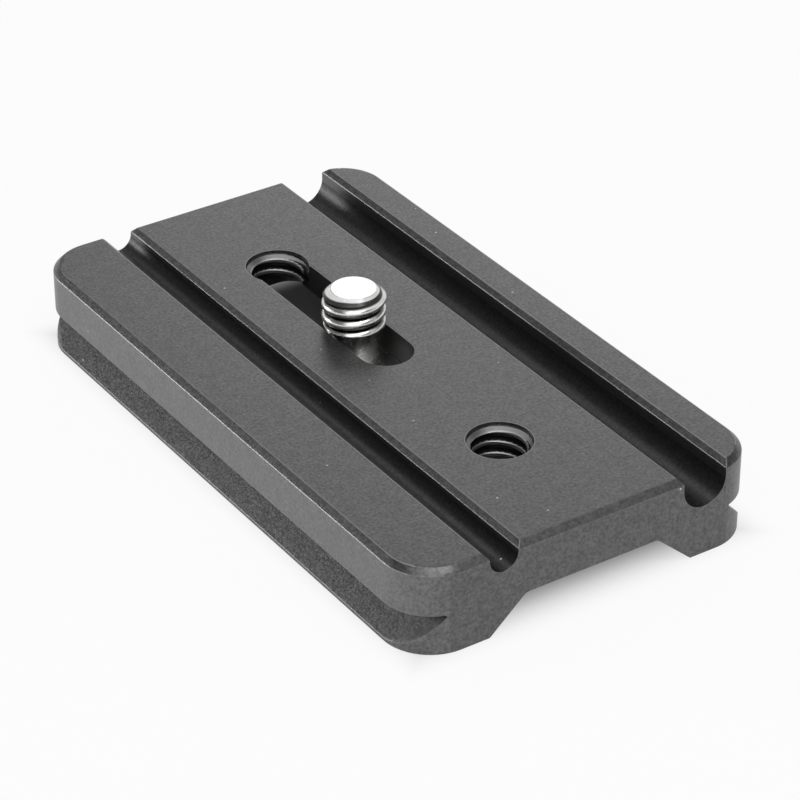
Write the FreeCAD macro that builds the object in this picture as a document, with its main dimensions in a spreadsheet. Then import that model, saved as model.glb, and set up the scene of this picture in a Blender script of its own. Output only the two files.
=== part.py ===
"""Tripod quick release plate with a captive camera screw.

Frame: +X across the plate, +Y along its length, +Z up towards the camera.
The origin is the centre of the footprint, level with the underside of the feet.
All sizes are millimetres and live in the spreadsheet "Sizes".
"""
import FreeCAD, Part
import math
import os

import Sketcher

os.makedirs("parts", exist_ok=True)
doc = FreeCAD.newDocument("ReleasePlate")
V = FreeCAD.Vector

# how near a point must lie to count as being on a plane
NEAR = 1e-4
# full angle of the countersinks, in degrees
COUNTERSINK_ANGLE = 90.0

# Sizes
SIZES = [
    # the plate as a block
    ("plateWidth", 38.5, "over both rims"),
    ("plateLength", 68.55, "front end to far end"),
    ("plateHeight", 9.0, "feet to top face"),
    ("cornerRadius", 5.0, "plan corners"),
    ("rimChamfer", 0.6, "round the whole top outline"),
    # the clamping profile at both long sides
    ("rimHeight", 4.85, "upright rim above the dovetail"),
    ("waistWidth", 31.2, "narrowest part of the dovetail"),
    ("waistFlat", 0.15, "upright strip at the waist"),
    ("flankRun", 3.66, "how far the 45 degree flank leads out"),
    # the channel under the plate
    ("channelMouth", 22.4, "width at the feet"),
    ("channelRoof", 14.6, "width at the roof"),
    ("channelDepth", 3.45, "feet to roof"),
    ("channelFillet", 1.0, "roof corners"),
    # the two grooves in the top face
    ("narrowGrooveX", -9.8, "centre of the narrow groove"),
    ("narrowGrooveWidth", 3.04, "between its walls"),
    ("narrowGrooveDepth", 2.3, "below the top face"),
    ("wideGrooveX", 12.5, "centre of the wide groove"),
    ("wideGrooveWidth", 4.8, "between its walls"),
    ("wideGrooveDepth", 3.72, "below the top face"),
    ("lipChamfer", 0.52, "edges of both grooves"),
    # the keyhole slot and the tapped holes
    ("slotWidth", 5.5, "passes the neck, holds the thread"),
    ("slotFrontY", -0.6, "centre of the front end of the slot"),
    ("slotFarY", 17.3, "centre of the far end of the slot"),
    ("entryHoleY", 19.1, "tapped hole the screw goes in by"),
    ("tappedHoleY", -19.6, "second tapped hole"),
    ("coreDiameter", 5.1, "core of the 1/4 inch thread"),
    ("mouthDiameter", 6.36, "countersink of the tapped holes"),
    # the pocket for the head, from below
    ("pocketWidth", 11.3, "across"),
    ("pocketFrontY", -6.6, "front end"),
    ("pocketFarY", 24.3, "far end"),
    ("pocketCorner", 2.5, "corner radius"),
    ("ledgeThickness", 3.0, "left between pocket and top face"),
    # the camera screw
    ("screwY", 5.0, "where it stands in the slot"),
    ("headDiameter", 10.6, "turns in the pocket"),
    ("headThickness", 3.4, "along the axis"),
    ("headChamfer", 0.4, "both rims of the head"),
    ("headGap", 0.05, "head to ledge"),
    ("neckDiameter", 4.75, "passes the slot"),
    ("threadDiameter", 6.35, "1/4 inch"),
    ("threadStart", 9.1, "level where the thread begins, clear of the slot"),
    ("threadRunout", 0.5, "cone from neck to thread"),
    ("screwTop", 13.25, "level of the tip"),
    ("tipChamfer", 0.9, "height of the cone at the tip"),
    ("tipDiameter", 4.5, "flat of the tip"),
    ("socketAcross", 4.0, "hexagon across flats"),
    ("socketDepth", 2.2, "hexagon depth"),
    ("coinSlotWidth", 1.6, "slot across the head"),
    ("coinSlotDepth", 1.2, "slot depth"),
]

sheet = doc.addObject("Spreadsheet::Sheet", "Sizes")
for row, (name, value, note) in enumerate(SIZES, start=1):
    sheet.set("A%d" % row, name)
    sheet.set("B%d" % row, repr(value))
    sheet.set("C%d" % row, note)
    sheet.setAlias("B%d" % row, name)
doc.recompute()
SIZE = {name: value for name, value, _ in SIZES}


def size_of(text):
    """Value of an expression over the sheet names, for the first drawing of a sketch."""
    total = 0.0
    for sign, factor, name in text:
        total += sign * factor * (SIZE[name] if name else 1.0)
    return total


def formula(text):
    """The same terms as an expression the document can evaluate."""
    parts = []
    for sign, factor, name in text:
        piece = repr(factor) if not name else "%r * Sizes.%s" % (factor, name)
        parts.append(("+ " if sign > 0 else "- ") + piece)
    joined = " ".join(parts)
    return joined[2:] if joined.startswith("+ ") else joined


def plus(name, factor=1.0):
    return (1, factor, name)


def minus(name, factor=1.0):
    return (-1, factor, name)


# Sketch helpers
def new_body(label):
    body = doc.addObject("PartDesign::Body", label)
    body.Label = label
    return body


def plane_of(body, role):
    for item in body.Origin.OriginFeatures:
        if item.Role == role:
            return item
    raise ValueError("no plane " + role)


def new_sketch(body, label, role, height=None):
    sketch = body.newObject("Sketcher::SketchObject", label)
    sketch.AttachmentSupport = [(plane_of(body, role), "")]
    sketch.MapMode = "FlatFace"
    if height is not None:
        sketch.setExpression("AttachmentOffset.Base.z", formula(height))
    return sketch


def pin(sketch, geo, point, across, along):
    """Hold one point of the sketch at a distance from the two axes."""
    for axis, terms in (("x", across), ("y", along)):
        value = size_of(terms)
        if not any(name for _, _, name in terms) and abs(value) < NEAR:
            if axis == "x":
                sketch.addConstraint(Sketcher.Constraint("PointOnObject", geo, point, -2))
            else:
                sketch.addConstraint(Sketcher.Constraint("PointOnObject", geo, point, -1))
            continue
        kind = "DistanceX" if axis == "x" else "DistanceY"
        index = sketch.addConstraint(Sketcher.Constraint(kind, -1, 1, geo, point, value))
        sketch.setExpression("Constraints[%d]" % index, formula(terms))


def outline(sketch, points):
    """Closed outline of straight lines through pinned corner points."""
    at = [V(size_of(a), size_of(b), 0) for a, b in points]
    count = len(points)
    first = None
    for i in range(count):
        geo = sketch.addGeometry(Part.LineSegment(at[i], at[(i + 1) % count]), False)
        first = geo if first is None else first
    for i in range(count):
        sketch.addConstraint(
            Sketcher.Constraint("Coincident", first + i, 2, first + (i + 1) % count, 1))
    for i, (across, along) in enumerate(points):
        pin(sketch, first + i, 1, across, along)
    return first


def circle(sketch, across, along, diameter):
    centre = V(size_of(across), size_of(along), 0)
    geo = sketch.addGeometry(Part.Circle(centre, V(0, 0, 1), size_of(diameter) / 2.0), False)
    pin(sketch, geo, 3, across, along)
    index = sketch.addConstraint(Sketcher.Constraint("Diameter", geo, size_of(diameter)))
    sketch.setExpression("Constraints[%d]" % index, formula(diameter))
    return geo


def slot_outline(sketch, near, far, width):
    """Round-ended slot along the second sketch axis, centred on it."""
    r = size_of(width) / 2.0
    low, high = size_of(near), size_of(far)
    bottom = sketch.addGeometry(
        Part.ArcOfCircle(Part.Circle(V(0, low, 0), V(0, 0, 1), r), math.pi, 2 * math.pi), False)
    right = sketch.addGeometry(Part.LineSegment(V(r, low, 0), V(r, high, 0)), False)
    top = sketch.addGeometry(
        Part.ArcOfCircle(Part.Circle(V(0, high, 0), V(0, 0, 1), r), 0, math.pi), False)
    left = sketch.addGeometry(Part.LineSegment(V(-r, high, 0), V(-r, low, 0)), False)
    tangent = "Tangent"
    sketch.addConstraint(Sketcher.Constraint(tangent, bottom, 2, right, 1))
    sketch.addConstraint(Sketcher.Constraint(tangent, right, 2, top, 1))
    sketch.addConstraint(Sketcher.Constraint(tangent, top, 2, left, 1))
    sketch.addConstraint(Sketcher.Constraint(tangent, left, 2, bottom, 1))
    sketch.addConstraint(Sketcher.Constraint("Equal", bottom, top))
    pin(sketch, bottom, 3, [(1, 0.0, "")], near)
    pin(sketch, top, 3, [(1, 0.0, "")], far)
    index = sketch.addConstraint(Sketcher.Constraint("Radius", bottom, r))
    sketch.setExpression("Constraints[%d]" % index, "(%s) / 2" % formula(width))


def rounded_box(sketch, left, right, low, high, radius):
    """Rectangle with rounded corners, every corner arc held by its centre."""
    x0, x1, y0, y1, r = (size_of(t) for t in (left, right, low, high, radius))
    arcs, quarter = [], math.pi / 2
    corners = [(x0 + r, y0 + r, 2), (x1 - r, y0 + r, 3), (x1 - r, y1 - r, 0), (x0 + r, y1 - r, 1)]
    for cx, cy, turn in corners:
        ring = Part.Circle(V(cx, cy, 0), V(0, 0, 1), r)
        arcs.append(sketch.addGeometry(
            Part.ArcOfCircle(ring, turn * quarter, (turn + 1) * quarter), False))
    lines = [
        sketch.addGeometry(Part.LineSegment(V(x0 + r, y0, 0), V(x1 - r, y0, 0)), False),
        sketch.addGeometry(Part.LineSegment(V(x1, y0 + r, 0), V(x1, y1 - r, 0)), False),
        sketch.addGeometry(Part.LineSegment(V(x1 - r, y1, 0), V(x0 + r, y1, 0)), False),
        sketch.addGeometry(Part.LineSegment(V(x0, y1 - r, 0), V(x0, y0 + r, 0)), False),
    ]
    for i in range(4):
        sketch.addConstraint(Sketcher.Constraint("Tangent", arcs[i], 2, lines[i], 1))
        sketch.addConstraint(Sketcher.Constraint("Tangent", lines[i], 2, arcs[(i + 1) % 4], 1))
    for line, kind in zip(lines, ("Horizontal", "Vertical", "Horizontal", "Vertical")):
        sketch.addConstraint(Sketcher.Constraint(kind, line))
    index = sketch.addConstraint(Sketcher.Constraint("Radius", arcs[0], r))
    sketch.setExpression("Constraints[%d]" % index, formula(radius))
    for arc in arcs[1:]:
        sketch.addConstraint(Sketcher.Constraint("Equal", arcs[0], arc))
    for geo, kind, terms in ((lines[3], "DistanceX", left), (lines[1], "DistanceX", right),
                             (lines[0], "DistanceY", low), (lines[2], "DistanceY", high)):
        index = sketch.addConstraint(
            Sketcher.Constraint(kind, -1, 1, geo, 1, size_of(terms)))
        sketch.setExpression("Constraints[%d]" % index, formula(terms))


def pad(body, label, sketch, length, both_ways=False):
    feature = body.newObject("PartDesign::Pad", label)
    feature.Profile = sketch
    feature.Length = size_of(length)
    feature.setExpression("Length", formula(length))
    feature.Midplane = both_ways
    sketch.Visibility = False
    return feature


def cut_through(body, label, sketch):
    feature = body.newObject("PartDesign::Pocket", label)
    feature.Profile = sketch
    feature.Type = "ThroughAll"
    feature.Midplane = True
    sketch.Visibility = False
    return feature


def cut_to(body, label, sketch, length, reverse):
    feature = body.newObject("PartDesign::Pocket", label)
    feature.Profile = sketch
    feature.Type = "Length"
    feature.Length = size_of(length)
    feature.setExpression("Length", formula(length))
    feature.Reversed = reverse
    sketch.Visibility = False
    return feature


NOTHING = [(1, 0.0, "")]

# The plate
plate = new_body("plate")

block_sketch = new_sketch(plate, "BlockSketch", "XY_Plane")
rounded_box(block_sketch,
            [minus("plateWidth", 0.5)], [plus("plateWidth", 0.5)],
            [minus("plateLength", 0.5)], [plus("plateLength", 0.5)], [plus("cornerRadius")])
block = pad(plate, "Block", block_sketch, [plus("plateHeight")])
doc.recompute()

# one chamfer runs round the whole top outline
top_edges = []
for number, edge in enumerate(block.Shape.Edges, start=1):
    box = edge.BoundBox
    if box.ZMin > SIZE["plateHeight"] - NEAR:
        top_edges.append("Edge%d" % number)
rim = plate.newObject("PartDesign::Chamfer", "RimChamfer")
rim.Base = (block, top_edges)
rim.Size = SIZE["rimChamfer"]
rim.setExpression("Size", "Sizes.rimChamfer")
doc.recompute()

# under each rim: flat overhang, waist, flank leading out to the foot
beyond = 2.0
side_sketch = new_sketch(plate, "FlankSketch", "XZ_Plane")
for side in (1, -1):
    def reach(terms, side=side):
        return [(sign * side, factor, name) for sign, factor, name in terms]
    under = [plus("plateHeight"), minus("rimHeight")]
    waist = [plus("waistWidth", 0.5)]
    outline(side_sketch, [
        (reach(waist), under),
        (reach(waist), under + [minus("waistFlat")]),
        (reach(waist + [plus("flankRun")]), under + [minus("waistFlat"), minus("flankRun")]),
        (reach(waist + [plus("flankRun"), (1, beyond, "")]),
         under + [minus("waistFlat"), minus("flankRun"), (-1, beyond, "")]),
        (reach(waist + [plus("flankRun"), (1, beyond, "")]), under),
    ])
cut_through(plate, "Flanks", side_sketch)

# the channel under the plate, its roof corners rounded
channel_sketch = new_sketch(plate, "ChannelSketch", "XZ_Plane")
outline(channel_sketch, [
    ([minus("channelMouth", 0.5)], NOTHING),
    ([plus("channelMouth", 0.5)], NOTHING),
    ([plus("channelRoof", 0.5)], [plus("channelDepth")]),
    ([minus("channelRoof", 0.5)], [plus("channelDepth")]),
])
channel = cut_through(plate, "Channel", channel_sketch)
doc.recompute()

roof_edges = []
for number, edge in enumerate(channel.Shape.Edges, start=1):
    box = edge.BoundBox
    at_roof = max(abs(level - SIZE["channelDepth"]) for level in (box.ZMin, box.ZMax)) < NEAR
    at_side = abs(abs(box.XMin) - SIZE["channelRoof"] / 2) < NEAR
    if at_roof and at_side and box.YLength > 0.8 * SIZE["plateLength"]:
        roof_edges.append("Edge%d" % number)
roof = plate.newObject("PartDesign::Fillet", "RoofFillet")
roof.Base = (channel, roof_edges)
roof.Radius = SIZE["channelFillet"]
roof.setExpression("Radius", "Sizes.channelFillet")
doc.recompute()


def groove(label, centre, width, depth):
    """Full-length groove with a half-round bottom and chamfered lips."""
    sketch = new_sketch(plate, label + "Sketch", "XZ_Plane")
    x, w, d = SIZE[centre], SIZE[width], SIZE[depth]
    lip, top, over = SIZE["lipChamfer"], SIZE["plateHeight"], 1.0
    r = w / 2.0
    mid = [plus(centre)]
    wall_l, wall_r = mid + [minus(width, 0.5)], mid + [plus(width, 0.5)]
    points = [
        V(x - r, top - d + r, 0), V(x - r, top - lip, 0), V(x - r - lip, top, 0),
        V(x - r - lip, top + over, 0), V(x + r + lip, top + over, 0), V(x + r + lip, top, 0),
        V(x + r, top - lip, 0), V(x + r, top - d + r, 0),
    ]
    lines = [sketch.addGeometry(Part.LineSegment(points[i], points[i + 1]), False)
             for i in range(7)]
    arc = sketch.addGeometry(
        Part.ArcOfCircle(Part.Circle(V(x, top - d + r, 0), V(0, 0, 1), r), math.pi, 2 * math.pi),
        False)
    for i in range(6):
        sketch.addConstraint(Sketcher.Constraint("Coincident", lines[i], 2, lines[i + 1], 1))
    sketch.addConstraint(Sketcher.Constraint("Coincident", lines[6], 2, arc, 2))
    sketch.addConstraint(Sketcher.Constraint("Coincident", arc, 1, lines[0], 1))
    face = [plus("plateHeight")]
    pin(sketch, lines[0], 1, wall_l, face + [minus(depth), plus(width, 0.5)])
    pin(sketch, lines[1], 1, wall_l, face + [minus("lipChamfer")])
    pin(sketch, lines[2], 1, wall_l + [minus("lipChamfer")], face)
    pin(sketch, lines[3], 1, wall_l + [minus("lipChamfer")], face + [(1, over, "")])
    pin(sketch, lines[4], 1, wall_r + [plus("lipChamfer")], face + [(1, over, "")])
    pin(sketch, lines[5], 1, wall_r + [plus("lipChamfer")], face)
    pin(sketch, lines[6], 1, wall_r, face + [minus("lipChamfer")])
    pin(sketch, lines[6], 2, wall_r, face + [minus(depth), plus(width, 0.5)])
    level = face + [minus(depth), plus(width, 0.5)]
    index = sketch.addConstraint(Sketcher.Constraint("DistanceY", -1, 1, arc, 3, size_of(level)))
    sketch.setExpression("Constraints[%d]" % index, formula(level))
    return cut_through(plate, label, sketch)


groove("NarrowGroove", "narrowGrooveX", "narrowGrooveWidth", "narrowGrooveDepth")
groove("WideGroove", "wideGrooveX", "wideGrooveWidth", "wideGrooveDepth")

# the pocket the head of the screw slides in, cut from below
pocket_sketch = new_sketch(plate, "PocketSketch", "XY_Plane")
rounded_box(pocket_sketch,
            [minus("pocketWidth", 0.5)], [plus("pocketWidth", 0.5)],
            [plus("pocketFrontY")], [plus("pocketFarY")], [plus("pocketCorner")])
cut_to(plate, "HeadPocket", pocket_sketch, [plus("plateHeight"), minus("ledgeThickness")], True)

# the slot
slot_sketch = new_sketch(plate, "SlotSketch", "XY_Plane")
slot_outline(slot_sketch, [plus("slotFrontY")], [plus("slotFarY")], [plus("slotWidth")])
cut_through(plate, "Slot", slot_sketch)
doc.recompute()

# both tapped holes, countersunk from the top face
hole_sketch = new_sketch(plate, "HoleSketch", "XY_Plane", [plus("plateHeight")])
for where in ("entryHoleY", "tappedHoleY"):
    circle(hole_sketch, NOTHING, [plus(where)], [plus("coreDiameter")])
doc.recompute()
holes = plate.newObject("PartDesign::Hole", "TappedHoles")
holes.Profile = hole_sketch
holes.ThreadType = 0
holes.Diameter = SIZE["coreDiameter"]
holes.setExpression("Diameter", "Sizes.coreDiameter")
holes.DepthType = 1
holes.HoleCutType = 2
holes.HoleCutCustomValues = True
holes.HoleCutDiameter = SIZE["mouthDiameter"]
holes.setExpression("HoleCutDiameter", "Sizes.mouthDiameter")
holes.HoleCutCountersinkAngle = COUNTERSINK_ANGLE
hole_sketch.Visibility = False
plate.Tip = holes
doc.recompute()

# The camera screw
screw = new_body("camera_screw")
ledge = [plus("plateHeight"), minus("ledgeThickness")]
shoulder = ledge + [minus("headGap")]
head_low = shoulder + [minus("headThickness")]
turn_sketch = new_sketch(screw, "ScrewSketch", "XZ_Plane")
outline(turn_sketch, [
    (NOTHING, head_low),
    ([plus("headDiameter", 0.5), minus("headChamfer")], head_low),
    ([plus("headDiameter", 0.5)], head_low + [plus("headChamfer")]),
    ([plus("headDiameter", 0.5)], shoulder + [minus("headChamfer")]),
    ([plus("headDiameter", 0.5), minus("headChamfer")], shoulder),
    ([plus("neckDiameter", 0.5)], shoulder),
    ([plus("neckDiameter", 0.5)], [plus("threadStart")]),
    ([plus("threadDiameter", 0.5)], [plus("threadStart"), plus("threadRunout")]),
    ([plus("threadDiameter", 0.5)], [plus("screwTop"), minus("tipChamfer")]),
    ([plus("tipDiameter", 0.5)], [plus("screwTop")]),
    (NOTHING, [plus("screwTop")]),
])
turned = screw.newObject("PartDesign::Revolution", "Turned")
turned.Profile = turn_sketch
turned.ReferenceAxis = (turn_sketch, ["V_Axis"])
turned.Angle = 360.0
turn_sketch.Visibility = False
doc.recompute()

# hexagon socket in the head, from below
socket_sketch = new_sketch(screw, "SocketSketch", "XY_Plane", head_low)
radius = SIZE["socketAcross"] / math.sqrt(3.0)
ring = [V(radius * math.cos(math.pi / 3 * i), radius * math.sin(math.pi / 3 * i), 0)
        for i in range(6)]
sides = [socket_sketch.addGeometry(Part.LineSegment(ring[i], ring[(i + 1) % 6]), False)
         for i in range(6)]
round_about = socket_sketch.addGeometry(Part.Circle(V(0, 0, 0), V(0, 0, 1), radius), True)
socket_sketch.addConstraint(Sketcher.Constraint("Coincident", round_about, 3, -1, 1))
for i in range(6):
    socket_sketch.addConstraint(
        Sketcher.Constraint("Coincident", sides[i], 2, sides[(i + 1) % 6], 1))
    socket_sketch.addConstraint(Sketcher.Constraint("PointOnObject", sides[i], 1, round_about))
for i in range(5):
    socket_sketch.addConstraint(Sketcher.Constraint("Equal", sides[i], sides[i + 1]))
socket_sketch.addConstraint(Sketcher.Constraint("Horizontal", sides[1]))
index = socket_sketch.addConstraint(
    Sketcher.Constraint("DistanceY", -1, 1, sides[1], 1, SIZE["socketAcross"] / 2))
socket_sketch.setExpression("Constraints[%d]" % index, "Sizes.socketAcross / 2")
cut_to(screw, "Socket", socket_sketch, [plus("socketDepth")], True)

# the coin slot runs out through both sides of the head
past_rim = 0.6
coin_sketch = new_sketch(screw, "CoinSlotSketch", "XY_Plane", head_low)
outline(coin_sketch, [
    ([minus("headDiameter", past_rim)], [minus("coinSlotWidth", 0.5)]),
    ([plus("headDiameter", past_rim)], [minus("coinSlotWidth", 0.5)]),
    ([plus("headDiameter", past_rim)], [plus("coinSlotWidth", 0.5)]),
    ([minus("headDiameter", past_rim)], [plus("coinSlotWidth", 0.5)]),
])
coin = cut_to(screw, "CoinSlot", coin_sketch, [plus("coinSlotDepth")], True)
screw.Tip = coin
screw.setExpression("Placement.Base.y", "Sizes.screwY")
doc.recompute()

# Checks and export
for item in doc.Objects:
    state = [word for word in item.State if word in ("Invalid", "Error")]
    if state:
        raise RuntimeError("%s is %s" % (item.Name, state))

for body in (plate, screw):
    shape = body.Shape
    if not shape.isValid() or len(shape.Solids) != 1:
        raise RuntimeError("%s is not one valid solid" % body.Label)
    shape.exportStep("parts/%s.step" % body.Label)
    box = shape.BoundBox
    print("%s: %.2f x %.2f x %.2f mm from z %.2f, volume %.1f mm3, %d faces" % (
        body.Label, box.XLength, box.YLength, box.ZLength, box.ZMin, shape.Volume,
        len(shape.Faces)))
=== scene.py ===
"""Dressed model of a tripod quick release plate and its captive camera screw.

The plate is blasted, dark grey anodised aluminium; the screw is bright plated steel.
Everything is in metres, in the frame of the solids: +X across the plate towards the wide
groove, +Y along it towards the entry hole, +Z up, and the origin under its middle.
"""
import logging
import math
from dataclasses import dataclass, field
from enum import Enum

import bmesh
import bpy
import numpy as np
from mathutils import Matrix, Vector


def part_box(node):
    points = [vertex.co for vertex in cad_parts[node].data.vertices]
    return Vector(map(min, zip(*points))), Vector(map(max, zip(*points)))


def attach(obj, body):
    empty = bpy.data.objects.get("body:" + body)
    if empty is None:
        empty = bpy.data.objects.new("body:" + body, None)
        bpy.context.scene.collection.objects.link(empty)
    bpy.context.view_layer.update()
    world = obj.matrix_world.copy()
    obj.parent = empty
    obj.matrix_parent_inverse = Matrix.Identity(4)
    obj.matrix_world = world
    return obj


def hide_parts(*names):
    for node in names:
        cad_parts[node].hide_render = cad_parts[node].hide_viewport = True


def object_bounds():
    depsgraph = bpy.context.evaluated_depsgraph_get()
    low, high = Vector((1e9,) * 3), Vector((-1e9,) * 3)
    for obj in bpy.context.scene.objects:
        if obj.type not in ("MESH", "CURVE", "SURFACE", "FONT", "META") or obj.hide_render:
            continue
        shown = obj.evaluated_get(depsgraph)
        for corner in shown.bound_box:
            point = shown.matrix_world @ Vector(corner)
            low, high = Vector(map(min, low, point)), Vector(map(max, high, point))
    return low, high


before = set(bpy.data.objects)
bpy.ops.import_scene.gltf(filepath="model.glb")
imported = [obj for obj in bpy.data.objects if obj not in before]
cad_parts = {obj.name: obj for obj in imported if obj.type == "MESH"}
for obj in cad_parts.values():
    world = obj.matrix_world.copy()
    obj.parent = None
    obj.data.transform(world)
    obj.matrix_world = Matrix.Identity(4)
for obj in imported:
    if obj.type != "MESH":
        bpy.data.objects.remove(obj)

MM = 0.001
TURN = 2.0 * math.pi
CAD_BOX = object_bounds()

# The weight at which the largest face alone sets the normal of a corner.
LARGEST_FACE_RULES = 100

log = logging.getLogger("release_plate")

Colour = tuple[float, float, float]
Pair = tuple[float, float]


class Node(Enum):
    """The solids that the dressed pieces stand for, by node name."""

    PLATE = "plate"
    SCREW = "camera_screw"


class Slot(Enum):
    """The two finishes of the object, by the names of their material slots."""

    ALUMINIUM = "anodised_aluminium"
    STEEL = "bright_steel"


def smooth_step(share: np.ndarray) -> np.ndarray:
    """Ease a share from 0 to 1 with level ends: three times its square less twice its cube.

    Args:
        share: Values that are held between 0 and 1 first.

    Returns:
        The eased values.
    """
    held = np.clip(share, 0.0, 1.0)
    return held * held * (3.0 - 2.0 * held)


def toned(colour: Colour, factor: float) -> Colour:
    """A colour times a factor."""
    return tuple(channel * factor for channel in colour)


def clear_of_corners(
    stops: np.ndarray, corners: np.ndarray, least_share: float = 0.3
) -> np.ndarray:
    """Mark the even stops that keep clear of every corner, so that no ring is crowded.

    Args:
        stops: Even distances along an outline.
        corners: Distances of its corners.
        least_share: Least distance to a corner, as a share of that between two stops.

    Returns:
        True for each stop that is kept.
    """
    gap = np.abs(stops[:, None] - corners[None, :]).min(axis=1)
    return gap > least_share * (stops[1] - stops[0])


def lathe_mesh(name: str, radii: np.ndarray, levels: np.ndarray, axis: Vector) -> bpy.types.Mesh:
    """Closed mesh of rings about an upright axis, with a pole at each end.

    Ring i lies at levels[i]; its point j stands at radii[i, j] from the axis, at the angle
    of j whole turns over the number of columns. The rings go up the outside, and each pole
    closes its end ring with a fan.

    Args:
        name: Name of the mesh.
        radii: Distances from the axis, one row a ring and one column an angle.
        levels: Height of each ring.
        axis: A point of the axis.

    Returns:
        The mesh, its faces pointing outwards.
    """
    rows, columns = radii.shape
    angle = np.arange(columns) * TURN / columns
    rings = np.stack(
        [
            axis.x + radii * np.cos(angle),
            axis.y + radii * np.sin(angle),
            np.broadcast_to(levels[:, None], radii.shape),
        ],
        axis=-1,
    ).reshape(-1, 3)
    low_pole, high_pole = rows * columns, rows * columns + 1
    points = np.vstack([rings, [axis.x, axis.y, levels[0]], [axis.x, axis.y, levels[-1]]])
    here = np.arange(columns)
    there = (here + 1) % columns
    base = (np.arange(rows - 1) * columns)[:, None]
    quads = np.stack(
        [base + here, base + there, base + columns + there, base + columns + here], axis=-1
    ).reshape(-1, 4)
    low_fan = np.stack([np.full(columns, low_pole), there, here], axis=-1)
    top = (rows - 1) * columns
    high_fan = np.stack([np.full(columns, high_pole), top + here, top + there], axis=-1)
    mesh = bpy.data.meshes.new(name)
    mesh.from_pydata(points.tolist(), [], quads.tolist() + low_fan.tolist() + high_fan.tolist())
    mesh.update()
    return mesh


def prism_mesh(name: str, outline: np.ndarray, low: float, high: float) -> bpy.types.Mesh:
    """Closed upright prism over a flat outline that runs anticlockwise.

    Args:
        name: Name of the mesh.
        outline: Corners of the outline, one row each.
        low: Level of the lower face.
        high: Level of the upper face.

    Returns:
        The mesh, its faces pointing outwards.
    """
    count = len(outline)
    lower = np.column_stack([outline, np.full(count, low)])
    upper = np.column_stack([outline, np.full(count, high)])
    here = np.arange(count)
    there = (here + 1) % count
    sides = np.stack([here, there, there + count, here + count], axis=-1)
    faces = [here[::-1].tolist(), (here + count).tolist(), *sides.tolist()]
    mesh = bpy.data.meshes.new(name)
    mesh.from_pydata(np.vstack([lower, upper]).tolist(), [], faces)
    mesh.update()
    return mesh


def add_object(mesh: bpy.types.Mesh) -> bpy.types.Object:
    """Put a mesh into the scene as an object at the origin that bears its name.

    Args:
        mesh: The mesh.

    Returns:
        The object.
    """
    thing = bpy.data.objects.new(mesh.name, mesh)
    bpy.context.scene.collection.objects.link(thing)
    return thing


def settle(piece: bpy.types.Object) -> None:
    """Keep what the piece's modifiers make of it as its own mesh, and drop them.

    Args:
        piece: The piece.
    """
    bpy.context.view_layer.update()
    graph = bpy.context.evaluated_depsgraph_get()
    result = bpy.data.meshes.new_from_object(piece.evaluated_get(graph))
    result.name = piece.name
    piece.modifiers.clear()
    piece.data = result


def cut_with(piece: bpy.types.Object, cutter: bpy.types.Mesh) -> None:
    """Cut a closed mesh out of a piece and keep the result in the piece's own mesh.

    Args:
        piece: The object to cut.
        cutter: The closed mesh to cut it with, which is used up.
    """
    tool = add_object(cutter)
    step = piece.modifiers.new("cut", "BOOLEAN")
    step.operation = "DIFFERENCE"
    step.solver = "EXACT"
    step.object = tool
    settle(piece)
    bpy.data.objects.remove(tool)


def shade(piece: bpy.types.Object, sharp_from: float) -> None:
    """Shade a piece smooth, apart from edges that turn by more than an angle.

    The largest face at a corner sets its normal there, so that a large face stays level
    up to the small faces of its broken edges.

    Args:
        piece: The piece.
        sharp_from: The angle, in degrees.
    """
    mesh = piece.data
    mesh.polygons.foreach_set("use_smooth", np.ones(len(mesh.polygons), bool))
    mesh.set_sharp_from_angle(angle=math.radians(sharp_from))
    level = piece.modifiers.new("level faces", "WEIGHTED_NORMAL")
    level.weight = LARGEST_FACE_RULES
    level.keep_sharp = True
    settle(piece)


@dataclass(frozen=True)
class InchThread:
    """A right-hand sixty degree thread, as camera screws have it.

    The shares of crest and root are parts of the pitch, and the rounding is the part of the
    flank's form that is eased.
    """

    major: float = 6.35 * MM
    pitch: float = 25.4 * MM / 20.0
    depth: float = 0.78 * MM
    crest_share: float = 0.15
    root_share: float = 0.25
    rounding: float = 0.3

    def from_crest(self, angle: np.ndarray, level: np.ndarray, lead: float) -> np.ndarray:
        """Distance from the nearest crest along the axis, in pitches: from 0 to a half.

        A crest lies where the level is the lead plus a pitch for each turn of the angle.

        Args:
            angle: Angle about the axis, in radians.
            level: Height along the axis.
            lead: Level of a crest at angle 0.

        Returns:
            The distance.
        """
        pitches = (level - lead) / self.pitch - angle / TURN
        return np.abs(pitches - np.round(pitches))

    def height(self, angle: np.ndarray, level: np.ndarray, lead: float) -> np.ndarray:
        """Height of the thread form, 0 in its root and 1 on its crest.

        From the middle of the crest the form stays level for half the crest, falls in a
        straight flank and ends in the root; the flank is then partly eased, which rounds
        its two ends.

        Args:
            angle: Angle about the axis, in radians.
            level: Height along the axis.
            lead: Level of a crest at angle 0.

        Returns:
            The height as a share of the thread's depth.
        """
        away = self.from_crest(angle, level, lead)
        flank_end, flank_start = 0.5 - self.root_share / 2.0, self.crest_share / 2.0
        share = np.clip((flank_end - away) / (flank_end - flank_start), 0.0, 1.0)
        return share + self.rounding * (smooth_step(share) - share)


@dataclass(frozen=True)
class RolledThread(InchThread):
    """A rolled and plated thread: full round backs with narrow valleys between them."""

    depth: float = 0.86 * MM
    half_back: float = 0.52

    def height(self, angle: np.ndarray, level: np.ndarray, lead: float) -> np.ndarray:
        """Height of the round backs, 1 on their middle and lowest in the valleys.

        A back is an arc of an ellipse: the square root of one less the square of the
        distance from its middle over half its width.

        Args:
            angle: Angle about the axis, in radians.
            level: Height along the axis.
            lead: Level of a crest at angle 0.

        Returns:
            The height as a share of the thread's depth.
        """
        away = self.from_crest(angle, level, lead)
        return np.sqrt(1.0 - (away / self.half_back) ** 2)


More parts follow.
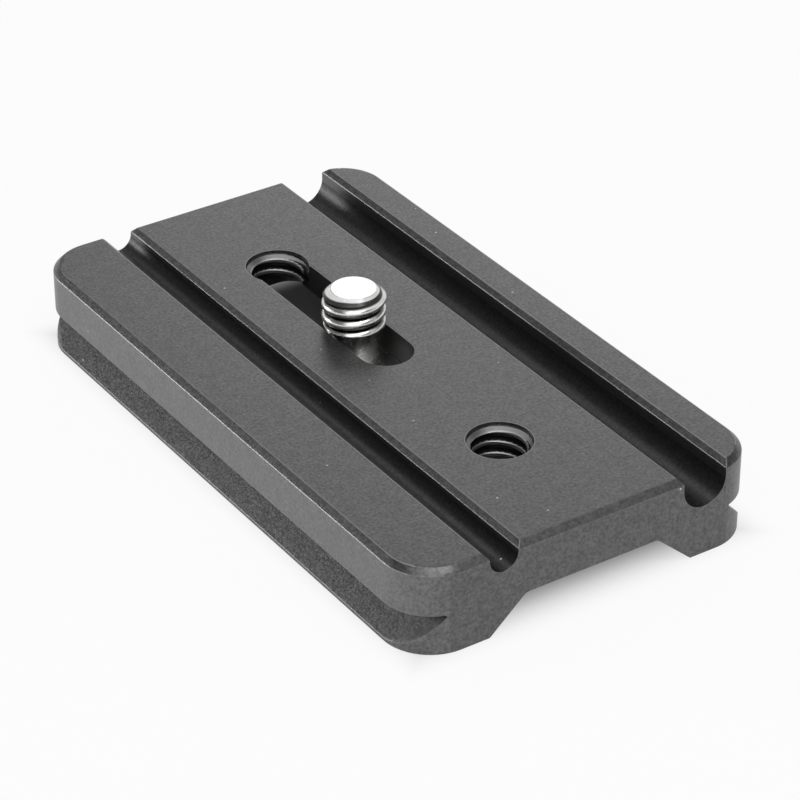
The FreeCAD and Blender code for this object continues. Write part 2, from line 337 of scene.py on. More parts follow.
@dataclass(frozen=True)
class BlastedAnodising:
    """Finish of the plate: bead-blasted aluminium under a dark grey anodised skin.

    The blasting is a fine grain of shallow dents, and the skin is slightly mottled, with a
    few light specks. Painted highlights lighten the broken edges, the rim sides that face
    sideways and the crests and mouths of the inner threads, and painted shade darkens the
    walls of the grooves, the slot and the holes, and the ends a little.
    """

    name: str = "blasted_anodising"
    colour: Colour = (0.157, 0.157, 0.157)
    metallic: float = 0.95
    roughness: float = 0.38
    roughness_swing: float = 0.05
    grain: float = 0.30 * MM
    grain_height: float = 0.018 * MM
    grain_stops: Pair = (0.3, 0.7)
    grain_tones: Pair = (0.72, 1.28)
    mottle: float = 1.1 * MM
    mottle_stops: Pair = (0.35, 0.65)
    mottle_tones: Pair = (0.93, 1.07)
    speck: float = 0.11 * MM
    speck_spacing: float = 3.0 * MM
    speck_colour: Colour = (0.55, 0.55, 0.55)
    # Painted highlight: broken edges, sideways rim sides and the inner threads' crests and mouths
    # are lightened towards this colour.
    highlight_attribute: str = "painted_highlight"
    highlight_colour: Colour = (0.46, 0.46, 0.46)
    # Painted shade: the walls of the grooves, the slot and the holes, and the ends, are darkened by
    # this factor.
    shade_attribute: str = "painted_shade"
    shade_tone: float = 0.22

    def material(self) -> bpy.types.Material:
        """Make the material's nodes.

        Returns:
            The material.
        """
        made = NodeSheet(self.name)
        shader = made.shader(self.metallic, self.roughness)
        place = made.add("ShaderNodeTexCoord").outputs["Object"]
        fine = made.noise(place, self.grain, detail=2.0)
        broad = made.noise(place, self.mottle, detail=3.0)
        dark, light = (toned(self.colour, tone) for tone in self.mottle_tones)
        skin = made.ramp(broad, self.mottle_stops, dark, light)
        dark, light = (toned((1.0, 1.0, 1.0), tone) for tone in self.grain_tones)
        skin = made.multiply(skin, made.ramp(fine, self.grain_stops, dark, light))
        specks = made.specks(place, self.speck_spacing, self.speck)
        # Painted shade on the walls and ends, then painted highlights on edges, rim sides and inner
        # threads, then the specks.
        for share, colour in (
            (made.attribute(self.shade_attribute), toned(self.colour, self.shade_tone)),
            (made.attribute(self.highlight_attribute), self.highlight_colour),
            (specks, self.speck_colour),
        ):
            skin = made.mix(share, skin, colour)
        made.link(skin, shader.inputs["Base Color"])
        gloss = made.span(
            fine, self.roughness - self.roughness_swing, self.roughness + self.roughness_swing)
        made.link(gloss, shader.inputs["Roughness"])
        made.link(made.bump(fine, self.grain_height), shader.inputs["Normal"])
        return made.material


@dataclass(frozen=True)
class BrightPlating:
    """Finish of the screw: bright plated steel with faint turning marks.

    The valleys of the thread are painted dark, a painted shade, and the tip's chamfer is matt.
    """

    name: str = "bright_plating"
    colour: Colour = (0.95, 0.945, 0.93)
    metallic: float = 1.0
    roughness: float = 0.25
    roughness_swing: Pair = (-0.03, 0.05)
    mark: float = 0.35 * MM
    mark_height: float = 0.0015 * MM
    mark_stops: Pair = (0.35, 0.65)
    mark_tone: float = 0.94
    # Painted shade: the thread's valleys are darkened towards this colour.
    valley_shade_attribute: str = "valley_shade"
    valley_shade_colour: Colour = (0.05, 0.05, 0.05)
    matt_attribute: str = "matt"
    matt_metallic: float = 0.10

    def material(self) -> bpy.types.Material:
        """Make the material's nodes.

        Returns:
            The material.
        """
        made = NodeSheet(self.name)
        shader = made.shader(self.metallic, self.roughness)
        place = made.add("ShaderNodeTexCoord").outputs["Object"]
        marks = made.noise(place, self.mark, detail=3.0)
        metal = made.ramp(marks, self.mark_stops, toned(self.colour, self.mark_tone), self.colour)
        # Painted shade in the thread's valleys.
        metal = made.mix(made.attribute(self.valley_shade_attribute), metal, self.valley_shade_colour)
        made.link(metal, shader.inputs["Base Color"])
        matt = made.attribute(self.matt_attribute)
        made.link(made.span(matt, self.metallic, self.matt_metallic), shader.inputs["Metallic"])
        smoothest, roughest = (self.roughness + swing for swing in self.roughness_swing)
        made.link(made.span(marks, smoothest, roughest), shader.inputs["Roughness"])
        made.link(made.bump(marks, self.mark_height), shader.inputs["Normal"])
        return made.material


class NodeSheet:
    """A material's node tree, and short ways to add the nodes that it needs."""

    def __init__(self, name: str) -> None:
        """Start an empty material.

        Args:
            name: Name of the material.
        """
        self.material = bpy.data.materials.new(name)
        self.material.use_nodes = True
        self.tree = self.material.node_tree
        self.tree.nodes.clear()
        self.surface = self.add("ShaderNodeOutputMaterial").inputs["Surface"]

    def add(self, kind: str) -> bpy.types.Node:
        """Add a node of a kind."""
        return self.tree.nodes.new(kind)

    def link(self, source: bpy.types.NodeSocket, target: bpy.types.NodeSocket) -> None:
        """Join two sockets."""
        self.tree.links.new(source, target)

    def shader(self, metallic: float, roughness: float) -> bpy.types.Node:
        """Add the principled shader and show it as the surface.

        Args:
            metallic: How metallic the surface is, 0 to 1, where nothing is linked to it.
            roughness: Its roughness, where nothing is linked to it.

        Returns:
            The shader node.
        """
        shader = self.add("ShaderNodeBsdfPrincipled")
        shader.inputs["Metallic"].default_value = metallic
        shader.inputs["Roughness"].default_value = roughness
        self.link(shader.outputs["BSDF"], self.surface)
        return shader

    def calculate(
        self, operation: str, first: bpy.types.NodeSocket, second: bpy.types.NodeSocket
    ) -> bpy.types.NodeSocket:
        """Add a sum of two values.

        Args:
            operation: The kind of sum, such as MAXIMUM.
            first: The first value.
            second: The second value.

        Returns:
            The result.
        """
        node = self.add("ShaderNodeMath")
        node.operation = operation
        self.link(first, node.inputs[0])
        self.link(second, node.inputs[1])
        return node.outputs["Value"]

    def attribute(self, name: str) -> bpy.types.NodeSocket:
        """Read a number that the mesh carries.

        Args:
            name: The name that the mesh carries it under.

        Returns:
            The number.
        """
        node = self.add("ShaderNodeAttribute")
        node.attribute_name = name
        return node.outputs["Fac"]

    def noise(self, place: bpy.types.NodeSocket, size: float, detail: float) -> bpy.types.NodeSocket:
        """Add a noise whose lumps have a given size.

        Args:
            place: The coordinates, in metres.
            size: Size of a lump, in metres.
            detail: Number of finer layers.

        Returns:
            The noise's value.
        """
        node = self.add("ShaderNodeTexNoise")
        node.inputs["Scale"].default_value = 1.0 / size
        node.inputs["Detail"].default_value = detail
        self.link(place, node.inputs["Vector"])
        return node.outputs["Fac"]

    def specks(
        self, place: bpy.types.NodeSocket, spacing: float, size: float
    ) -> bpy.types.NodeSocket:
        """Add scattered round specks.

        Args:
            place: The coordinates, in metres.
            spacing: Distance from one speck to the next, about.
            size: Radius of the largest, in metres.

        Returns:
            1 in a speck and 0 elsewhere.
        """
        cells = self.add("ShaderNodeTexVoronoi")
        cells.inputs["Scale"].default_value = 1.0 / spacing
        self.link(place, cells.inputs["Vector"])
        inside = self.add("ShaderNodeMath")
        inside.operation = "LESS_THAN"
        inside.inputs[1].default_value = size / spacing
        self.link(cells.outputs["Distance"], inside.inputs[0])
        return inside.outputs["Value"]

    def ramp(
        self, value: bpy.types.NodeSocket, stops: Pair, low: Colour, high: Colour
    ) -> bpy.types.NodeSocket:
        """Turn a value into a colour between two.

        Args:
            value: The value.
            stops: Where the first colour ends and the second begins.
            low: The first colour.
            high: The second colour.

        Returns:
            The colour.
        """
        node = self.add("ShaderNodeValToRGB")
        for element, stop, colour in zip(node.color_ramp.elements, stops, (low, high)):
            element.position = stop
            element.color = (*colour, 1.0)
        self.link(value, node.inputs["Fac"])
        return node.outputs["Color"]

    def span(self, value: bpy.types.NodeSocket, low: float, high: float) -> bpy.types.NodeSocket:
        """Spread a value from 0 to 1 over a range.

        Args:
            value: The value.
            low: What 0 becomes.
            high: What 1 becomes.

        Returns:
            The spread value.
        """
        node = self.add("ShaderNodeMapRange")
        node.inputs["To Min"].default_value = low
        node.inputs["To Max"].default_value = high
        self.link(value, node.inputs["Value"])
        return node.outputs["Result"]

    def ease(self, value: bpy.types.NodeSocket, low: float, high: float) -> bpy.types.NodeSocket:
        """Ease a value's range to 0 and 1, with level ends.

        Args:
            value: The value.
            low: What becomes 0.
            high: What becomes 1.

        Returns:
            The eased value.
        """
        node = self.add("ShaderNodeMapRange")
        node.interpolation_type = "SMOOTHSTEP"
        node.inputs["From Min"].default_value = low
        node.inputs["From Max"].default_value = high
        self.link(value, node.inputs["Value"])
        return node.outputs["Result"]

    def multiply(
        self, first: bpy.types.NodeSocket, second: bpy.types.NodeSocket
    ) -> bpy.types.NodeSocket:
        """Multiply two colours.

        Args:
            first: The first colour.
            second: The second colour.

        Returns:
            Their product.
        """
        node = self.add("ShaderNodeMix")
        node.data_type = "RGBA"
        node.blend_type = "MULTIPLY"
        node.inputs["Factor"].default_value = 1.0
        self.link(first, node.inputs["A"])
        self.link(second, node.inputs["B"])
        return node.outputs["Result"]

    def mix(
        self, share: bpy.types.NodeSocket, first: bpy.types.NodeSocket, second: Colour
    ) -> bpy.types.NodeSocket:
        """Mix a linked colour with a fixed one.

        Args:
            share: How much of the fixed colour there is.
            first: The linked colour.
            second: The fixed colour.

        Returns:
            The mixed colour.
        """
        node = self.add("ShaderNodeMix")
        node.data_type = "RGBA"
        self.link(share, node.inputs["Factor"])
        self.link(first, node.inputs["A"])
        node.inputs["B"].default_value = (*second, 1.0)
        return node.outputs["Result"]

    def blend(
        self,
        share: bpy.types.NodeSocket,
        first: bpy.types.NodeSocket,
        second: bpy.types.NodeSocket,
    ) -> bpy.types.NodeSocket:
        """Mix two shaders.

        Args:
            share: How much of the second there is.
            first: The first shader.
            second: The second shader.

        Returns:
            The mixed shader.
        """
        node = self.add("ShaderNodeMixShader")
        self.link(share, node.inputs["Fac"])
        self.link(first, node.inputs[1])
        self.link(second, node.inputs[2])
        return node.outputs["Shader"]

    def bump(self, value: bpy.types.NodeSocket, height: float) -> bpy.types.NodeSocket:
        """Turn a value into a bumped normal.

        Args:
            value: The value, whose highest is 1.
            height: Height of the bumps, in metres.

        Returns:
            The normal.
        """
        node = self.add("ShaderNodeBump")
        node.inputs["Strength"].default_value = 1.0
        node.inputs["Distance"].default_value = height
        self.link(value, node.inputs["Height"])
        return node.outputs["Normal"]


@dataclass
class MachinedPlate:
    """The plate: the solid's own form with its edges broken and its two holes tapped.

    Angles are in degrees, and the leads are shares of a pitch. The other shares, from 0 to
    1, tell the finish how much painted highlight or painted shade a face gets.
    """

    merge_within: float = 0.0005 * MM
    flat_within: float = 0.2
    edge_break: float = 0.07 * MM
    edge_facets: int = 2
    edge_from: float = 25.0
    sharp_from: float = 32.0
    rim_from: float = 4.2 * MM
    # Painted light on upright rim sides that face sideways, and painted highlights on the broken
    # edges.
    upright_within: float = 0.1
    sideways_from: float = 0.4
    side_light: float = 0.15
    upper_edge_highlight: float = 0.55
    lower_edge_highlight: float = 0.15
    upper_edge_reach: float = 32.0 * MM
    plate_top: float = 9.0 * MM
    tapped_hole_y: float = -19.6 * MM
    entry_hole_y: float = 19.1 * MM
    tapped_lead: float = 0.856
    entry_lead: float = 0.73
    tap_levels: Pair = (2.0 * MM, 10.2 * MM)
    tap_depth_share: float = 0.8
    mouth_wall: float = 0.38 * MM
    mouth_flank: float = 60.0
    # Painted highlights on the mouths and crests of the inner threads, by these shares.
    mouth_depth: float = 0.7 * MM
    mouth_radius: float = 3.12 * MM
    mouth_highlight: float = 0.6
    crest_radius: float = 2.68 * MM
    crest_share: float = 1.0
    # Painted shade on the walls of the grooves, the slot and the holes, and less on the ends.
    inner_levels: Pair = (5.2 * MM, 8.6 * MM)
    inner_reach: Pair = (15.1 * MM, 33.6 * MM)
    slot_reach: float = 3.3 * MM
    slot_shade: float = 1.0
    groove_shade: float = 0.64
    end_from: float = 34.1 * MM
    end_shade: float = 0.16
    columns: int = 128
    row_step: float = 0.045 * MM
    thread: InchThread = field(default_factory=InchThread)
    finish: BlastedAnodising = field(default_factory=BlastedAnodising)

    def build(self) -> bpy.types.Object:
        """Make the plate, dress it and set it on its body.

        Returns:
            The finished piece.
        """
        piece = add_object(self._broken_solid())
        for centre, lead in (
            (self.tapped_hole_y, self.tapped_lead),
            (self.entry_hole_y, self.entry_lead),
        ):
            cut_with(piece, self._tap(centre, lead * self.thread.pitch))
        self._tone_faces(piece.data)
        shade(piece, self.sharp_from)
        piece.data.materials.clear()
        piece.data.materials.append(self.finish.material())
        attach(piece, Node.PLATE.value)
        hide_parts(Node.PLATE.value)
        return piece

    def _broken_solid(self) -> bpy.types.Mesh:
        """Copy the solid's mesh, join its loose triangles and break its edges.

        Returns:
            The mesh; a number on each face tells how much painted highlight it gets.
        """
        sheet = bmesh.new()
        sheet.from_mesh(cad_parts[Node.PLATE.value].data)
        bmesh.ops.remove_doubles(sheet, verts=sheet.verts, dist=self.merge_within)
        bmesh.ops.dissolve_limit(
            sheet, angle_limit=math.radians(self.flat_within), verts=sheet.verts,
            edges=sheet.edges)
        # Painted light on the rim sides that face sideways.
        lightening = sheet.faces.layers.float.new(self.finish.highlight_attribute)
        for face in sheet.faces:
            face[lightening] = self._rim_side_light(face)
        limit = math.radians(self.edge_from)
        sharp = [e for e in sheet.edges if e.is_manifold and e.calc_face_angle() > limit]
        broken = bmesh.ops.bevel(
            sheet, geom=sharp, offset=self.edge_break, offset_type="OFFSET",
            segments=self.edge_facets, profile=0.5, affect="EDGES", clamp_overlap=False)
        # Painted highlights on the broken edges.
        for face in broken["faces"]:
            face[lightening] = self._edge_highlight(face)
        bmesh.ops.triangulate(sheet, faces=[f for f in sheet.faces if len(f.verts) > 4])
        mesh = bpy.data.meshes.new("blasted_plate")
        sheet.to_mesh(mesh)
        sheet.free()
        return mesh

    def _rim_side_light(self, face: bmesh.types.BMFace) -> float:
        """How much painted light an upright side of the rims gets: more as it faces sideways.

        Args:
            face: A face of the plate.

        Returns:
            The share, which is 0 on every other face.
        """
        upright = abs(face.normal.z) < self.upright_within
        if not upright or face.calc_center_median().z <= self.rim_from:
            return 0.0
        sideways = max(0.0, abs(face.normal.x) - self.sideways_from)
        return self.side_light * sideways / (1.0 - self.sideways_from)

    def _edge_highlight(self, face: bmesh.types.BMFace) -> float:
        """How much painted highlight a broken edge gets: most on the upper edges between the ends.

        Args:
            face: A face of the edge.

        Returns:
            The share.
        """
        middle = face.calc_center_median()
        upper = middle.z > self.rim_from and abs(middle.y) < self.upper_edge_reach
        return self.upper_edge_highlight if upper else self.lower_edge_highlight

    def _tap(self, centre: float, lead: float) -> bpy.types.Mesh:
        """The tap that cuts one of the holes: its radius follows the thread form.

        At the top it is as wide as the thread, and below that it narrows in a flank.

        Args:
            centre: Where the hole stands along the plate.
            lead: Level of a crest at angle 0.

        Returns:
            The closed mesh of the tap.
        """
        levels = np.arange(*self.tap_levels, self.row_step)
        angle = np.arange(self.columns) * TURN / self.columns
        rise = self.thread.height(angle[None, :], levels[:, None], lead)
        outer = self.thread.major / 2.0
        below_wall = np.maximum(0.0, self.plate_top - self.mouth_wall - levels)
        mouth = np.maximum(0.0, outer - below_wall * math.tan(math.radians(self.mouth_flank)))
        threaded = outer - self.thread.depth * self.tap_depth_share * (1.0 - rise)
        radii = np.maximum(threaded, mouth[:, None])
        return lathe_mesh("tap", radii, levels, Vector((0.0, centre, 0.0)))

    def _tone_faces(self, mesh: bpy.types.Mesh) -> None:
        """Tell the finish where the plate gets painted shade and where it gets painted highlights.

        The walls of the grooves, the slot and the holes get painted shade, the ends a little of
        it; the crests and mouths of the inner threads get painted highlights.

        Args:
            mesh: The tapped plate.
        """
        centres = np.empty(len(mesh.polygons) * 3, np.float32)
        mesh.polygons.foreach_get("center", centres)
        x, y, z = centres.reshape(-1, 3).T
        inner = (z > self.inner_levels[0]) & (z < self.inner_levels[1])
        inner &= (abs(x) < self.inner_reach[0]) & (abs(y) < self.inner_reach[1])
        inside = np.where(abs(x) < self.slot_reach, self.slot_shade, self.groove_shade)
        outside = self.end_shade * (abs(y) > self.end_from)
        # Painted shade: the walls of the grooves, the slot and the holes, and the ends, are marked
        # to be darkened.
        smooth = mesh.attributes.new(self.finish.shade_attribute, "FLOAT", "FACE")
        smooth.data.foreach_set("value", np.where(inner, inside, outside))
        # Painted highlights on the mouths and crests of the inner threads.
        lightening = mesh.attributes[self.finish.highlight_attribute].data
        shares = np.empty(len(lightening), np.float32)
        lightening.foreach_get("value", shares)
        for middle in (self.tapped_hole_y, self.entry_hole_y):
            radius = np.hypot(x, y - middle)
            mouth = (radius < self.mouth_radius) & (z > self.plate_top - self.mouth_depth)
            shares[mouth] = self.mouth_highlight
            shares[radius < self.crest_radius] = self.crest_share
        lightening.foreach_set("value", shares)


@dataclass
class CameraScrew:
    """The captive screw: head, smooth neck and a stud with a rolled thread.

    Angles are in degrees. The places and widths of the valleys' painted shade are shares of a pitch.
    """

    head_chamfer: float = 0.4 * MM
    head_thickness: float = 3.4 * MM
    neck: float = 4.75 * MM
    thread_start: float = 9.1 * MM
    runout: float = 0.5 * MM
    tip_chamfer: float = 0.9 * MM
    tip: float = 4.5 * MM
    edge_round: float = 0.03 * MM
    inner_ring: float = 0.30
    crest_level: float = 12.25 * MM
    crest_angle: float = -33.65
    socket: float = 4.0 * MM
    socket_depth: float = 2.2 * MM
    coin_slot: float = 1.6 * MM
    coin_slot_depth: float = 1.2 * MM
    coin_slot_reach: float = 0.62
    cutter_below: float = 1.0 * MM
    # Where the painted shade of the valleys lies, in pitches.
    valley_below: float = 0.37
    valley_fade: Pair = (0.21, 0.29)
    bright_tip: float = 0.25 * MM
    sharp_from: float = 40.0
    columns: int = 128
    row_step: float = 0.05 * MM
    thread: InchThread = field(default_factory=RolledThread)
    finish: BrightPlating = field(default_factory=BrightPlating)

    def build(self) -> bpy.types.Object:
        """Make the screw, dress it and set it on its body.

        Returns:
            The finished piece.
        """
        low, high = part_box(Node.SCREW.value)
        axis = (low + high) / 2.0
        piece = add_object(self._turned(low, high, axis))
        for recess in self._recesses(low, high, axis):
            cut_with(piece, recess)
        self._mark_tones(piece.data, high, axis)
        shade(piece, self.sharp_from)
        piece.data.materials.clear()
        piece.data.materials.append(self.finish.material())
        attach(piece, Node.SCREW.value)
        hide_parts(Node.SCREW.value)
        return piece

    def _profile(self, low: Vector, high: Vector) -> tuple[np.ndarray, np.ndarray]:
        """Outline of the turned blank, divided finely enough for the thread.

        Args:
            low: Lowest corner of the screw.
            high: Highest corner of the screw.

        Returns:
            Radii and levels along the outline, from the underside to the tip.
        """
        head = (high.x - low.x) / 2.0
        shoulder = low.z + self.head_thickness
        stud = self.thread.major / 2.0
        small = self.edge_round
        corners = np.array([
            (self.inner_ring * head, low.z),
            (head - self.head_chamfer - small, low.z),
            (head - self.head_chamfer, low.z + small / 2.0),
            (head - small / 2.0, low.z + self.head_chamfer),
            (head, low.z + self.head_chamfer + small),
            (head, shoulder - self.head_chamfer - small),
            (head - small / 2.0, shoulder - self.head_chamfer),
            (head - self.head_chamfer, shoulder - small / 2.0),
            (head - self.head_chamfer - small, shoulder),
            (self.neck / 2.0 + 2.0 * small, shoulder),
            (self.neck / 2.0, shoulder + 2.0 * small),
            (self.neck / 2.0, self.thread_start),
            (stud, self.thread_start + self.runout),
            (stud, high.z - self.tip_chamfer),
            (self.tip / 2.0 + small, high.z - 1.5 * small),
            (self.tip / 2.0 - small, high.z),
            (self.inner_ring * self.tip, high.z),
        ])
        run = np.concatenate([[0.0], np.cumsum(np.hypot(*np.diff(corners, axis=0).T))])
        fine = np.arange(0.0, run[-1], self.row_step)
        stops = np.unique(np.concatenate([run, fine[clear_of_corners(fine, run)]]))
        return np.interp(stops, run, corners[:, 0]), np.interp(stops, run, corners[:, 1])

    def _turned(self, low: Vector, high: Vector, axis: Vector) -> bpy.types.Mesh:
        """The turned and threaded screw, its radius the lesser of blank and thread.

        Args:
            low: Lowest corner of the screw.
            high: Highest corner of the screw.
            axis: A point of its axis.

        Returns:
            The closed mesh.
        """
        blank, levels = self._profile(low, high)
        angle = np.arange(self.columns) * TURN / self.columns
        rise = self.thread.height(angle[None, :], levels[:, None], self._lead())
        threaded = self.thread.major / 2.0 - self.thread.depth * (1.0 - rise)
        above = (levels > self.thread_start)[:, None]
        radii = np.where(above, np.minimum(blank[:, None], threaded), blank[:, None])
        return lathe_mesh("threaded_screw", radii, levels, axis)

    def _lead(self) -> float:
        """Level of a crest at angle 0."""
        return self.crest_level - math.radians(self.crest_angle) / TURN * self.thread.pitch

    def _mark_tones(self, mesh: bpy.types.Mesh, high: Vector, axis: Vector) -> None:
        """Tell the finish where the thread's valleys get painted shade and where the tip's chamfer
        is matt.

        The painted shade's middle lies a share of a pitch below each crest, and it fades
        out between two distances from it.

        Args:
            mesh: The screw.
            high: Highest corner of the screw.
            axis: A point of its axis.
        """
        places = np.empty(len(mesh.vertices) * 3, np.float32)
        mesh.vertices.foreach_get("co", places)
        x, y, z = places.reshape(-1, 3).T
        # Painted shade in the valleys, kept off the neck and the tip.
        valley_lead = self._lead() - self.valley_below * self.thread.pitch
        away = self.thread.from_crest(np.arctan2(y - axis.y, x - axis.x), z, valley_lead)
        start, end = self.valley_fade
        valley_shade = 1.0 - smooth_step((away - start) / (end - start))
        valley_shade[(z < self.thread_start) | (z > high.z - self.bright_tip)] = 0.0
        chamfer = (z > high.z - self.tip_chamfer) & (z < high.z - self.edge_round)
        for name, shares in (
            (self.finish.valley_shade_attribute, valley_shade),
            (self.finish.matt_attribute, chamfer),
        ):
            mark = mesh.attributes.new(name, "FLOAT", "POINT")
            mark.data.foreach_set("value", shares.astype(np.float32))

    def _recesses(self, low: Vector, high: Vector, axis: Vector) -> list[bpy.types.Mesh]:
        """Cutters for the hexagon socket and the coin slot in the underside of the head.

        Args:
            low: Lowest corner of the screw.
            high: Highest corner of the screw.
            axis: A point of its axis.

        Returns:
            The closed meshes of the cutters.
        """
        below = low.z - self.cutter_below
        sixth = np.arange(6) * TURN / 6.0
        corner = self.socket / math.sqrt(3.0)
        hexagon = np.column_stack([corner * np.cos(sixth), corner * np.sin(sixth)])
        reach = self.coin_slot_reach * (high.x - low.x)
        half = self.coin_slot / 2.0
        bar = np.array([(-reach, -half), (reach, -half), (reach, half), (-reach, half)])
        centre = np.array([axis.x, axis.y])
        return [
            prism_mesh("socket", hexagon + centre, below, low.z + self.socket_depth),
            prism_mesh("coin_slot", bar + centre, below, low.z + self.coin_slot_depth),
        ]


@dataclass(frozen=True)
class Softbox:
    """A large square lamp that faces the object.

    Its place and the length of its side are in metres, and its power is in watts.
    """

    name: str
    place: tuple[float, float, float]
    side: float
    power: float

    def hang(self) -> None:
        """Put the lamp into the scene."""
        data = bpy.data.lights.new(self.name, "AREA")
        data.shape = "SQUARE"
        data.size = self.side
        data.energy = self.power
        lamp = bpy.data.objects.new(self.name, data)
        lamp.location = self.place
        lamp.rotation_mode = "QUATERNION"
        lamp.rotation_quaternion = (-Vector(self.place)).to_track_quat("-Z", "Y")
        bpy.context.scene.collection.objects.link(lamp)


SOFTBOXES = (
    Softbox("back_right_softbox", (0.43, 0.60, 0.38), 0.36, 0.52),
    Softbox("overhead_softbox", (-0.10, 0.45, 0.70), 0.45, 0.50),
    Softbox("low_left_softbox", (-0.60, 0.60, 0.10), 0.30, 1.40),
    Softbox("right_softbox", (0.75, 0.35, 0.45), 0.40, 0.35),
    Softbox("front_right_softbox", (0.45, -0.55, 0.55), 0.40, 0.20),
    Softbox("front_spot", (0.06, -0.50, 0.72), 0.20, 0.85),
    Softbox("camera_side_softbox", (-0.42, -0.55, 0.60), 0.90, 2.8),
    Softbox("top_softbox", (0.0, -0.05, 0.90), 0.80, 1.8),
)


@dataclass(frozen=True)
class PaleFloor:
    """The floor: pale, and nearly white to the eye and in what the metal reflects.

    The rest of its tone is the light that falls on it, which keeps the shadow. Under the
    object its colour is darkened and its white glow taken away, a painted shadow, up to an
    edge that runs about the object's footprint. From below it is clear, so that the
    underside can be seen.
    """

    size: float = 3.0
    level: float = -0.02 * MM
    tone: float = 0.93
    # Painted shadow: the floor's colour under the object.
    painted_shadow_tone: float = 0.30
    roughness: float = 0.9
    seen_white: float = 0.92
    mirrored_white: float = 0.63
    shadow_edge: Pair = (-7.0 * MM, 2.0 * MM)

    def lay(self) -> None:
        """Put the floor into the scene."""
        half = self.size / 2.0
        square = np.array([(-half, -half), (half, -half), (half, half), (-half, half)])
        mesh = bpy.data.meshes.new("floor")
        corners = np.column_stack([square, np.full(4, self.level)])
        mesh.from_pydata(corners.tolist(), [], [(0, 1, 2, 3)])
        mesh.materials.append(self._material())
        add_object(mesh)

    def _material(self) -> bpy.types.Material:
        """Make the floor's nodes.

        Returns:
            The material.
        """
        made = NodeSheet("pale_floor")
        shader = made.shader(metallic=0.0, roughness=self.roughness)
        shader.inputs["Specular IOR Level"].default_value = 0.0
        # Painted shadow: under the object the floor's colour falls to the shaded tone.
        out_of_painted_shadow = self._out_of_painted_shadow(made)
        tone = made.span(out_of_painted_shadow, self.painted_shadow_tone, self.tone)
        grey = made.add("ShaderNodeCombineColor")
        for channel in ("Red", "Green", "Blue"):
            made.link(tone, grey.inputs[channel])
        made.link(grey.outputs["Color"], shader.inputs["Base Color"])
        path = made.add("ShaderNodeLightPath")
        seen = path.outputs["Is Camera Ray"]
        white = made.span(seen, self.mirrored_white, self.seen_white)
        for kind in ("Is Glossy Ray", "Is Transmission Ray"):
            seen = made.calculate("MAXIMUM", seen, path.outputs[kind])
        # Under the object the white glow is taken away too, part of the painted shadow.
        white = made.calculate("MULTIPLY", made.calculate("MULTIPLY", seen, white), out_of_painted_shadow)
        glow = made.add("ShaderNodeEmission").outputs["Emission"]
        upper = made.blend(white, shader.outputs["BSDF"], glow)
        from_below = made.add("ShaderNodeNewGeometry").outputs["Backfacing"]
        clear = made.add("ShaderNodeBsdfTransparent").outputs["BSDF"]
        made.link(made.blend(from_below, upper, clear), made.surface)
        return made.material

    def _out_of_painted_shadow(self, made: NodeSheet) -> bpy.types.NodeSocket:
        """How far a place of the floor is out of the painted shadow: 0 under the object and 1 clear
        of it.

        The place's distance outside the object's footprint, the greater of the two along X
        and Y, is eased over the width of the shadow's edge.

        Args:
            made: The floor's material.

        Returns:
            The share.
        """
        low, high = CAD_BOX
        half = ((high[0] - low[0]) / 2.0, (high[1] - low[1]) / 2.0, 0.0)
        aside = made.add("ShaderNodeVectorMath")
        aside.operation = "ABSOLUTE"
        made.link(made.add("ShaderNodeTexCoord").outputs["Object"], aside.inputs[0])
        past = made.add("ShaderNodeVectorMath")
        past.operation = "SUBTRACT"
        past.inputs[1].default_value = half
        made.link(aside.outputs["Vector"], past.inputs[0])
        parts = made.add("ShaderNodeSeparateXYZ")
        made.link(past.outputs["Vector"], parts.inputs["Vector"])
        outside = made.calculate("MAXIMUM", parts.outputs["X"], parts.outputs["Y"])
        return made.ease(outside, *self.shadow_edge)


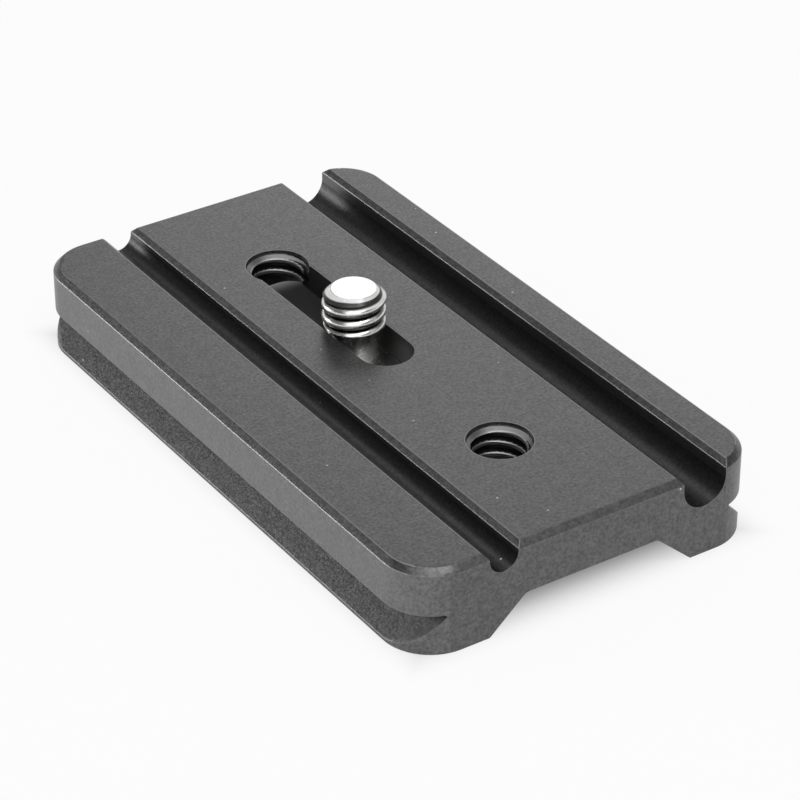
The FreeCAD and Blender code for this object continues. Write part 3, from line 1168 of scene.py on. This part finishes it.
@dataclass(frozen=True)
class SweepSky:
    """The sky: dim above and bright along the rim of the sweep, but plain white to the eye.

    The rim fades out over a range of heights of the direction looked in, where 0 is level
    and 1 is straight up.
    """

    strength: float = 0.10
    sweep_strength: float = 0.90
    sweep_top: Pair = (0.10, 0.30)

    def spread(self) -> None:
        """Make the sky the scene's world."""
        world = bpy.data.worlds.new("soft_sky")
        world.use_nodes = True
        tree = world.node_tree
        direction = tree.nodes.new("ShaderNodeTexCoord")
        parts = tree.nodes.new("ShaderNodeSeparateXYZ")
        tree.links.new(direction.outputs["Generated"], parts.inputs["Vector"])
        fade = tree.nodes.new("ShaderNodeMapRange")
        fade.interpolation_type = "SMOOTHSTEP"
        fade.inputs["From Min"].default_value = self.sweep_top[0]
        fade.inputs["From Max"].default_value = self.sweep_top[1]
        fade.inputs["To Min"].default_value = self.sweep_strength
        fade.inputs["To Max"].default_value = self.strength
        tree.links.new(parts.outputs["Z"], fade.inputs["Value"])
        seen = tree.nodes.new("ShaderNodeMath")
        seen.operation = "MAXIMUM"
        path = tree.nodes.new("ShaderNodeLightPath")
        tree.links.new(path.outputs["Is Camera Ray"], seen.inputs[0])
        tree.links.new(fade.outputs["Result"], seen.inputs[1])
        background = tree.nodes["Background"]
        tree.links.new(seen.outputs["Value"], background.inputs["Strength"])
        background.inputs["Color"].default_value = (1.0, 1.0, 1.0, 1.0)
        bpy.context.scene.world = world


@dataclass
class Studio:
    """Camera, floor, sky and lamps. The camera's angles are in degrees."""

    azimuth: float = -33.65
    elevation: float = 32.12
    place: tuple[float, float, float] = (-147.75 * MM, -225.03 * MM, 172.1 * MM)
    lens_mm: float = 147.5
    sensor_mm: float = 36.0
    clip: Pair = (0.01, 20.0)
    floor: PaleFloor = field(default_factory=PaleFloor)
    sky: SweepSky = field(default_factory=SweepSky)
    lamps: tuple[Softbox, ...] = SOFTBOXES

    def build(self) -> None:
        """Set up the camera, the floor, the sky and the lamps."""
        bpy.context.scene.view_settings.view_transform = "Standard"
        self._camera()
        self.floor.lay()
        self.sky.spread()
        for lamp in self.lamps:
            lamp.hang()

    def _camera(self) -> None:
        """Stand the camera where the photograph was taken from."""
        data = bpy.data.cameras.new("camera")
        data.lens = self.lens_mm
        data.sensor_width = self.sensor_mm
        data.clip_start, data.clip_end = self.clip
        camera = bpy.data.objects.new("camera", data)
        bpy.context.scene.collection.objects.link(camera)
        turn, rise = math.radians(self.azimuth), math.radians(self.elevation)
        back = Vector((
            math.sin(turn) * math.cos(rise), -math.cos(turn) * math.cos(rise), math.sin(rise)))
        right = Vector((math.cos(turn), math.sin(turn), 0.0))
        axes = Matrix((right, back.cross(right), back)).transposed().to_4x4()
        camera.matrix_world = Matrix.Translation(self.place) @ axes
        bpy.context.scene.camera = camera


def main() -> None:
    """Build the studio and both pieces, and report what was made."""
    logging.basicConfig(level=logging.INFO, format="%(name)s: %(message)s")
    Studio().build()
    for builder in (MachinedPlate(), CameraScrew()):
        piece = builder.build()
        log.info("%s: %d faces", piece.name, len(piece.data.polygons))


if __name__ == "__main__":
    main()
